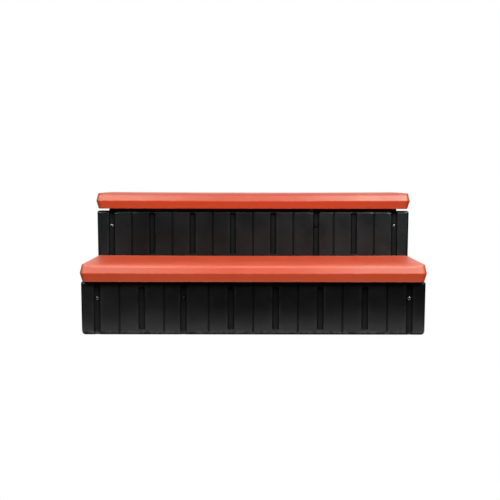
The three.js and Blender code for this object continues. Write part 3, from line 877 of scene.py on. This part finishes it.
def build_board(name, loop, cells, cuts, face, seed, spots=()):
    """cells says which (y, z) lie inside the loop. Cuts and spots are sunk into
    the outer face, which looks to +X if face is +1."""
    low, high = box_mm(name)
    thick = high[0] - low[0]
    corner_ys, corner_zs = (sorted(set(values)) for values in zip(*loop))
    ys = round_lines(corner_ys, low[1], high[1])
    zs = round_lines(corner_zs, low[2], high[2])
    for cut in cuts:
        for s in WALL[0][:-1] * wall_scale(cut):
            ys += [cut.mid - cut.half + s, cut.mid + cut.half - s]
            if cut.low is not None:
                zs += [cut.low + s, cut.high - s]
    for y, z in spots:
        ys += [y + s for s in SPOT_LINES]
        zs += [z + s for s in SPOT_LINES]
    ys = thin_out(spread(within(ys, low[1], high[1]), 14.0), 0.10)
    zs = thin_out(spread(within(zs, low[2], high[2]), 14.0), 0.10)
    # outline positions stay exact
    for lines, exact in ((ys, corner_ys), (zs, corner_zs)):
        for value in exact:
            lines[np.argmin(np.abs(lines - value))] = value

    def sheet(y, z, seed_step, outer):
        inset = outline_distance(y, z, loop)
        depth = fillet(inset, BOARD_ROUND)
        for cut in cuts if outer else ():
            if cut.low is None:
                inside = cut.half - np.abs(y - cut.mid)
            else:
                inside = slot_inset(y, z, cut.mid, cut.low, cut.high, cut.half, cut.corner)
            share = np.interp(inside / wall_scale(cut), *WALL)
            if cut.low is None and cut.high is not None:
                share = share * (z < cut.high)
            sunk = cut.depth * share
            depth = np.maximum(depth, sunk + np.where(sunk > 0.02, fillet(inset, 1.6) * 0.9, 0))
        for spot_y, spot_z in spots if outer else ():
            depth = depth + 0.35 * np.interp(np.hypot(y - spot_y, z - spot_z), *SPOT_SEAT)
        uneven = 0.16 * swell(y, z, seed + seed_step, ((150.0, 0.6), (60.0, 0.4)))
        return depth + uneven * unit(inset / 6.0)

    verts, faces = plate(ys, zs, cells, lambda y, z: sheet(y, z, 0, True),
                         lambda y, z: thick - sheet(y, z, 7, False))
    depth = verts[:, 2]
    x = high[0] - depth if face > 0 else low[0] + depth
    placed = np.column_stack([x, verts[:, 0], verts[:, 1]])
    make_object(name, "_skin", placed, faces, FRAME, "frame_black",
                edge=board_wear(verts, loop))


def stepped(with_front):
    """Outline and inside test of a stepped board, with or without the low front part."""
    loop = [(BACK_Y, 0.0), (BACK_Y, NUB_Z), (NUB_Y, NUB_Z), (NUB_Y, LEDGE_Z),
            (BACK_Y, LEDGE_Z), (BACK_Y, HIGH_Z), (STEP_Y, HIGH_Z), (STEP_Y, LEDGE_Z),
            (NOSE_Y, LEDGE_Z)]
    if with_front:
        loop = [(FRONT_Y, 0.0)] + loop + [(NOSE_Y, LOW_Z), (FRONT_Y, LOW_Z)]
    else:
        loop = [(NOSE_Y, 0.0)] + loop

    def cells(y, z):
        inside = (y > NOSE_Y) & (y < BACK_Y) & (z < LEDGE_Z)
        inside |= (y > STEP_Y) & (y < BACK_Y) & (z < HIGH_Z)
        inside |= (y > BACK_Y - 1) & (y < NUB_Y) & (z > NUB_Z) & (z < LEDGE_Z)
        if with_front:
            inside |= (y > FRONT_Y) & (y < NOSE_Y + 1) & (z < LOW_Z)
        return inside
    return loop, cells


def build_frame(name, face, seed):
    """Wide closed channels alternate with narrow ones that run out at the ends."""
    cuts = []
    for half_steps in range(-4, 5):
        y = half_steps / 2 * PITCH
        in_front = y <= NOSE_Y
        if half_steps % 2 == 0:
            cuts.append(wide_cut(y, margin=12.0, top=LOW_Z if in_front else HIGH_Z, depth=4.0))
        else:
            cuts.append(Cut(y, half=2.25, low=None, high=LOW_Z if y < NOSE_Y else None,
                            depth=2.5, corner=0))
    build_board(name, *stepped(True), cuts, face, seed,
                spots=[(0.0, LOW_Z - 20.0), (0.0, LOW_Z - 60.0)])


def build_lower_support():
    loop = rectangle(SUPPORT_LOW[1], SUPPORT_HIGH[1], SUPPORT_LOW[2], SUPPORT_HIGH[2])
    cuts = [wide_cut(y, margin=14.0, top=LOW_Z, depth=3.0) for y in (-220.0, -136.4, -52.0)]
    build_board("lower_support", loop, everywhere, cuts, face=1, seed=61)


def build_upper_support():
    cuts = [wide_cut(y, margin=14.0, top=HIGH_Z, depth=3.0) for y in (72.0, 147.0, 222.0)]
    build_board("upper_support", *stepped(False), cuts, face=-1, seed=67)


FIELD_XS = (-200.0, 200.0)
FIELD_HALF_X, FIELD_HALF_Z, FIELD_CORNER, FIELD_DEPTH = 170.0, 26.0, 5.0, 2.0


def build_rail():
    """A box rail with rounded edges and two long sunk fields on each side."""
    low, high = box_mm("cross_rail")
    thick = high[1] - low[1]
    loop = rectangle(low[0], high[0], low[2], high[2])
    mid_z = (low[2] + high[2]) / 2
    xs = round_lines([low[0], high[0]], low[0], high[0])
    zs = round_lines([low[2], high[2]], low[2], high[2])
    for middle in FIELD_XS:
        xs += mirrored(middle, FIELD_HALF_X - WALL[0][:-1])
    zs += mirrored(mid_z, FIELD_HALF_Z - WALL[0][:-1])
    xs = thin_out(spread(xs, 14.0), 0.10)
    zs = thin_out(spread(zs, 12.0), 0.10)

    def sheet(x, z, seed):
        inset = outline_distance(x, z, loop)
        depth = fillet(inset, BOARD_ROUND)
        # the supports are screwed on near the fields' middles, which stay flat
        keep = unit((np.abs(np.abs(x) - MID_X) - 12.0) / 4.0)
        for middle in FIELD_XS:
            inside = slot_inset(x, z, middle, mid_z - FIELD_HALF_Z, mid_z + FIELD_HALF_Z,
                                FIELD_HALF_X, FIELD_CORNER)
            depth = np.maximum(depth, FIELD_DEPTH * np.interp(inside, *WALL) * keep)
        uneven = 0.12 * swell(x, z, seed, ((210.0, 0.5), (97.0, 0.3), (41.0, 0.2)))
        return depth + uneven * unit(inset / 6.0)

    verts, faces = plate(xs, zs, everywhere, lambda x, z: sheet(x, z, 71),
                         lambda x, z: thick - sheet(x, z, 74))
    placed = np.column_stack([verts[:, 0], low[1] + verts[:, 2], verts[:, 1]])
    make_object("cross_rail", "_skin", placed, faces, FRAME, "frame_black",
                edge=board_wear(verts, loop))


# --------------------------------------------------------------------- cleats

CLEAT_THICK = 4.0
GUSSET_OFFSETS = (-88.0, -60.0, 0.0, 60.0, 88.0)
GUSSET_HALF = 1.6
GUSSET_SUNK = 1.5                   # overlap into the legs


def rounded_polygon(points, radii, steps):
    """Points of a closed polygon with each corner replaced by a curve."""
    out = []
    for i, (point, radius) in enumerate(zip(points, radii)):
        point = np.array(point, float)
        before = np.array(points[i - 1], float) - point
        after = np.array(points[(i + 1) % len(points)], float) - point
        len_before, len_after = np.linalg.norm(before), np.linalg.norm(after)
        before, after = before / len_before, after / len_after
        if radius <= 0:
            out.append(tuple(point))
            continue
        half_angle = math.acos(float(np.clip(before @ after, -1, 1))) / 2
        cut = min(radius / math.tan(half_angle), len_before * 0.48, len_after * 0.48)
        out += bezier(point + before * cut, point, point + after * cut, steps)
    return out


def prism(bm, outline, y0, y1, place, chamfer):
    """Extrudes a closed (u, v) outline from y0 to y1 with softened ends."""
    points = np.array(outline)
    after, before = np.roll(points, -1, 0), np.roll(points, 1, 0)
    tangent = after - before
    tangent /= np.maximum(np.linalg.norm(tangent, axis=1), 1e-9)[:, None]
    normal = np.column_stack([tangent[:, 1], -tangent[:, 0]])
    area = 0.5 * np.sum(points[:, 0] * after[:, 1] - after[:, 0] * points[:, 1])
    if area < 0:
        normal = -normal
    loops = []
    for y, inset in ((y0, chamfer), (y0 + chamfer, 0.0), (y1 - chamfer, 0.0), (y1, chamfer)):
        loops.append([bm.verts.new(place(u, y, v)) for u, v in points - normal * inset])
    for this, following in zip(loops, loops[1:]):
        for i in range(len(points)):
            j = (i + 1) % len(points)
            bm.faces.new((this[i], this[j], following[j], following[i]))
    bm.faces.new(loops[0][::-1])
    bm.faces.new(loops[-1])


def prism_object(name, prisms, place, chamfer):
    """An object made of (outline, y0, y1) prisms."""
    bm = bmesh.new()
    for outline, y0, y1 in prisms:
        prism(bm, outline, y0, y1, place, chamfer)
    bmesh.ops.recalc_face_normals(bm, faces=bm.faces)
    mesh = bpy.data.meshes.new(name)
    bm.to_mesh(mesh)
    bm.free()
    return link_object(name, mesh)


def build_cleat(name, side):
    """side is -1 on the left; the angle's back is against that frame."""
    low, high = box_mm(name)
    wall = high[0] if side > 0 else low[0]
    width, tall, thick = high[0] - low[0], high[2] - low[2], CLEAT_THICK
    section = rounded_polygon(
        [(0, 0), (-width, 0), (-width, -thick), (-thick, -thick), (-thick, -tall), (0, -tall)],
        [0.9, 1.4, 1.4, 3.0, 1.4, 1.4], 5)
    gusset = rounded_polygon(
        [(-GUSSET_SUNK, -GUSSET_SUNK), (-width + 4, -GUSSET_SUNK), (-width + 4, -thick - 1.0),
         (-thick - 1.0, -tall + 4), (-GUSSET_SUNK, -tall + 4)],
        [0, 0, 1.2, 1.2, 0], 3)

    def place(u, y, v):
        return Vector(((wall + side * u) * 0.001, y * 0.001, (high[2] + v) * 0.001))

    obj = prism_object(name + "_skin", [(section, low[1], high[1])], place, chamfer=0.5)
    # gussets between the legs, joined to the angle
    mid_y = (low[1] + high[1]) / 2
    gussets = prism_object(
        name + "_gussets",
        [(gusset, mid_y + s - GUSSET_HALF, mid_y + s + GUSSET_HALF) for s in GUSSET_OFFSETS],
        place, chamfer=0.35)
    union = obj.modifiers.new("gussets", "BOOLEAN")
    union.operation = "UNION"
    union.solver = "EXACT"
    union.object = gussets
    bpy.context.view_layer.update()
    depsgraph = bpy.context.evaluated_depsgraph_get()
    joined = bpy.data.meshes.new_from_object(obj.evaluated_get(depsgraph))
    obj.modifiers.clear()
    obj.data = joined
    bpy.data.objects.remove(gussets)
    joined.name = name + "_skin"
    shade_smooth(joined, 38)
    store_points(joined, "edge", np.full(len(joined.vertices), 0.12))
    joined.materials.clear()
    joined.materials.append(CLEAT)
    register(obj, name)


# --------------------------------------------------------------------- screws

SCREW_SEGMENTS = 48
THREAD_PITCH, THREAD_CORE, THREAD_CREST = 1.6, 1.55, 2.1
# rings over the top of the head, as shares of its radius
DOME_RINGS = (0.06, 0.13, 0.2, 0.28, 0.36, 0.44, 0.5, 0.56, 0.62, 0.72, 0.82, 0.90)
# rings down its side: (share of the radius, share of the height)
SIDE_RINGS = ((0.955, 0.62), (0.985, 0.5), (0.999, 0.34), (1.0, 0.16))
# (distance in from the edge, share of the depth)
RECESS_WALL = table((-0.12, 0.0), (0.0, 0.10), (0.12, 0.7), (0.34, 1.0))


def screw_mesh(head_r, head_h, length):
    """Pan head with a cross recess, a washer face and a threaded shank.

    The head is above z = 0 and the point below it."""
    angles = [2 * math.pi * k / SCREW_SEGMENTS + math.pi / 8 for k in range(SCREW_SEGMENTS)]
    arm, arm_half, recess_depth = head_r * 0.56, head_r * 0.135, head_h * 0.62

    def dome(radius):
        return head_h * (1 - 0.30 * (radius / head_r) ** 2.2)

    def recess(x, y):
        def arm_inset(along, across):
            taper = arm_half * (1.0 - 0.25 * min(abs(along) / arm, 1.0))
            return min(arm - abs(along), taper - abs(across))
        inside = max(arm_inset(x, y), arm_inset(y, x))
        return recess_depth * float(np.interp(inside, *RECESS_WALL))

    verts, faces = [(0.0, 0.0, dome(0) - recess_depth)], []

    def add_ring(points):
        """Appends a ring and joins it to the one before, or to the first point."""
        start = len(verts)
        verts.extend(points)
        last = start - SCREW_SEGMENTS
        for k in range(SCREW_SEGMENTS):
            j = (k + 1) % SCREW_SEGMENTS
            if start == 1:
                faces.append((0, start + k, start + j))
            else:
                faces.append((last + k, last + j, start + j, start + k))

    for share in DOME_RINGS:
        radius = head_r * share
        circle = [(radius * math.cos(t), radius * math.sin(t)) for t in angles]
        add_ring([(x, y, dome(radius) - recess(x, y)) for x, y in circle])
    side = [(head_r * share, head_h * height) for share, height in SIDE_RINGS]
    side += [(head_r * 0.985, 0.05), (head_r * 0.95, 0.0), (2.6, 0.0), (2.2, -0.05)]
    for radius, z in side:
        add_ring([(radius * math.cos(t), radius * math.sin(t), z) for t in angles])

    steps = int((length - 0.8) / (THREAD_PITCH / 8))
    for i in range(steps + 1):
        z = -0.4 - (length - 1.0) * i / steps
        taper = float(unit((length - 0.6 + z) / 4.5))
        near_head = float(unit((-z - 0.8) / 1.2))
        points = []
        for t in angles:
            phase = (-z / THREAD_PITCH - t / (2 * math.pi)) % 1.0
            tooth = max(0.0, 1.0 - abs(phase - 0.5) / 0.28)
            radius = THREAD_CORE + (THREAD_CREST - THREAD_CORE) * tooth * near_head
            radius = radius * (0.12 + 0.88 * taper)
            points.append((radius * math.cos(t), radius * math.sin(t), z))
        add_ring(points)
    tip = len(verts)
    last = tip - SCREW_SEGMENTS
    verts.append((0.0, 0.0, -length))
    for k in range(SCREW_SEGMENTS):
        faces.append((last + k, tip, last + (k + 1) % SCREW_SEGMENTS))
    return np.array(verts), faces


screw_shapes = {}                   # one shape for each size


def build_screw(name, dark):
    low, high = box_mm(name)
    size = high - low
    centre = (low + high) / 2
    axis = int(np.argmax(size))
    side_a, side_b = [i for i in range(3) if i != axis]
    head_r = min(size) / 2
    head_h = 3.2 if head_r > 4.2 else 2.6
    length = size[axis] - head_h
    key = (round(head_r, 2), round(length, 2))
    if key not in screw_shapes:
        screw_shapes[key] = screw_mesh(head_r, head_h, length)
    verts, faces = screw_shapes[key]
    # the head end is the wide end of the CAD screw
    cad = np.array([c.co for c in nodes[name].data.vertices], float) * 1000.0
    radius = np.hypot(cad[:, side_a] - centre[side_a], cad[:, side_b] - centre[side_b])
    head_at = cad[radius > head_r * 0.9, axis].mean()
    sign = 1.0 if head_at > centre[axis] else -1.0
    seat = high[axis] - head_h if sign > 0 else low[axis] + head_h
    # each head stops at its own angle
    turn = (sum(ord(c) for c in name) * 37 % 90) * math.pi / 180
    x, y, z = verts.T
    placed = np.empty_like(verts)
    placed[:, side_a] = centre[side_a] + x * math.cos(turn) - y * math.sin(turn)
    placed[:, side_b] = centre[side_b] + x * math.sin(turn) + y * math.cos(turn)
    placed[:, axis] = seat + sign * z
    make_object(name, "_body", placed, faces, DARK if dark else STEEL,
                "screw_dark" if dark else "screw_steel", sharp_angle=35)


# -------------------------------------------------------------------- pieces

build_tread("lower_tread", seed=11, all_round=False)
build_tread("upper_tread", seed=23, all_round=True)
build_panel("lower_riser", facing=1, seed=31)
build_panel("upper_riser", facing=-1, seed=37)
build_panel("rear_lower_panel", facing=-1, seed=41)
build_panel("rear_upper_panel", facing=-1, seed=43)
build_frame("side_frame_left", face=-1, seed=47)
build_frame("side_frame_right", face=1, seed=53)
build_lower_support()
build_upper_support()
build_rail()
for level in ("lower", "upper"):
    build_cleat(f"cleat_{level}_left", side=-1)
    build_cleat(f"cleat_{level}_right", side=1)
for name in sorted(nodes):
    if name.startswith("screw_"):
        build_screw(name, dark=name.endswith("_mid"))


# --------------------------------------------------------------------- studio
# The camera sees plain white, while the stool is lit by soft boxes, a dim room
# and a pale sheet on the floor. Lengths are in metres from here on.

WHITE = 1.0                         # strength of the white that the camera sees
ROOM_EVEN = 0.02                    # strength of the even room light
ROOM_BACK = 1.1                     # and of the glow behind the stool,
BACK_SHARPNESS = 10.0               # how narrow that glow is
BACK_TOWARDS = (180, 3)             # and its azimuth and elevation
SHEET_GLOW = 1.95                   # strength of the pale sheet
SHEET_REACH = 0.08                  # distance over which it fades
CONTACT_REACH = 0.007               # the floor is dark where the stool rests on it
CONTACT_SHARE = 0.9
# name: (azimuth, elevation, distance, width, height, power); azimuth 0 is the
# front and 90 is +X, angles in degrees, power in watts
BOXES = {
    "box_left": (-38, 38, 4.5, 1.7, 1.7, 172.0),
    "box_right": (34, 38, 4.5, 1.7, 1.7, 210.0),
    "box_right_low": (20, 25, 4.5, 1.0, 1.0, 10.0),
    "box_top": (0, 82, 2.4, 2.2, 1.4, 29.0),
    "box_back": (180, 45, 2.6, 2.0, 0.8, 9.0),
}
BOX_AIM_UP = 0.2                    # height above the floor that the boxes aim at
CAMERA_LENS = 71.0352               # mm, on a 36 mm sensor
CAMERA_OFFSET = (-0.0091, -2.5715, 0.4191)    # from the foot of the front, at its middle
CAMERA_PITCH, CAMERA_ROLL = -0.07425, -0.0013    # radians from looking level along +Y

scene = bpy.context.scene
bounds_low, bounds_high = Vector(cad_bounds[0]), Vector(cad_bounds[1])
middle = (bounds_low + bounds_high) / 2


def direction(azimuth, elevation):
    a, e = math.radians(azimuth), math.radians(elevation)
    return (math.sin(a) * math.cos(e), -math.cos(a) * math.cos(e), math.sin(e))


def build_world():
    world = bpy.data.worlds.new("studio")
    scene.world = world
    g = Graph(world)
    ray = g.node("TexCoord").outputs["Generated"]
    even = g.weight("room_even", ROOM_EVEN)
    back = g.weight("room_back", ROOM_BACK)
    dot = g.node("VectorMath", {0: ray, 1: direction(*BACK_TOWARDS)}, operation="DOT_PRODUCT")
    off_axis = g.math("SUBTRACT", dot.outputs["Value"], 1.0)
    lobe = g.math("EXPONENT", g.times(off_axis, BACK_SHARPNESS))
    total = g.math("ADD", even, g.times(back, lobe))
    rest = g.node("Background", {"Strength": total, "Color": (1, 1, 1, 1)})
    seen = g.node("Background", {"Strength": WHITE, "Color": (1, 1, 1, 1)})
    output = g.node("OutputWorld")
    g.feed(output.inputs["Surface"], g.camera_only(seen.outputs[0], rest.outputs[0]))


def floor_material(half_x, half_y):
    material = bpy.data.materials.new("studio_floor")
    g = Graph(material)
    place = g.node("TexCoord").outputs["Object"]
    axes = g.node("SeparateXYZ", {0: place}).outputs

    def beyond(axis, half):
        """Square of the distance beyond the stool's box along one axis."""
        past = g.math("SUBTRACT", g.math("ABSOLUTE", axes[axis]), half)
        return g.math("MAXIMUM", past, 0.0)

    past_x, past_y = beyond("X", half_x), beyond("Y", half_y)
    square = g.math("ADD", g.times(past_x, past_x), g.times(past_y, past_y))

    def near(reach):
        return g.math("EXPONENT", g.times(square, -1.0 / reach ** 2))

    sheet = g.times(g.weight("sheet_near", SHEET_GLOW), near(SHEET_REACH))
    strength = g.times(sheet, g.less(near(CONTACT_REACH), CONTACT_SHARE))
    glow = g.node("Emission", {"Strength": strength})
    white = g.node("Emission", {"Strength": WHITE})
    output = g.node("OutputMaterial")
    g.feed(output.inputs["Surface"], g.camera_only(white.outputs[0], glow.outputs[0]))
    return material


def build_floor(half=9.0):
    mesh = bpy.data.meshes.new("floor")
    corners = [(-half, -half, 0), (half, -half, 0), (half, half, 0), (-half, half, 0)]
    mesh.from_pydata(corners, [], [(0, 1, 2, 3)])
    mesh.update()
    size = bounds_high - bounds_low
    mesh.materials.append(floor_material(size.x / 2, size.y / 2))
    floor = link_object("floor", mesh)
    # just under the stool's feet
    floor.location = (middle.x, middle.y, bounds_low.z - 0.0004)


def build_light(name, azimuth, elevation, distance, width, height, power):
    light = bpy.data.lights.new(name, "AREA")
    light.shape = "RECTANGLE"
    light.size, light.size_y = width, height
    light.energy = power
    obj = link_object(name, light)
    outward = Vector(direction(azimuth, elevation))
    obj.location = outward * distance + Vector((middle.x, middle.y, bounds_low.z + BOX_AIM_UP))
    obj.rotation_euler = (-outward).to_track_quat("-Z", "Y").to_euler()
    obj.visible_camera = False


def build_camera():
    camera = bpy.data.cameras.new("camera")
    camera.sensor_fit = "HORIZONTAL"
    camera.sensor_width = 36.0
    camera.lens = CAMERA_LENS
    camera.clip_end = 60
    obj = link_object("camera", camera)
    right, along, up = CAMERA_OFFSET
    obj.location = (middle.x + right, bounds_low.y + along, bounds_low.z + up)
    obj.rotation_euler = (math.pi / 2 + CAMERA_PITCH, CAMERA_ROLL, 0.0)
    scene.camera = obj


build_world()
build_floor()
for name, settings in BOXES.items():
    build_light(name, *settings)
build_camera()
scene.view_settings.view_transform = "Standard"
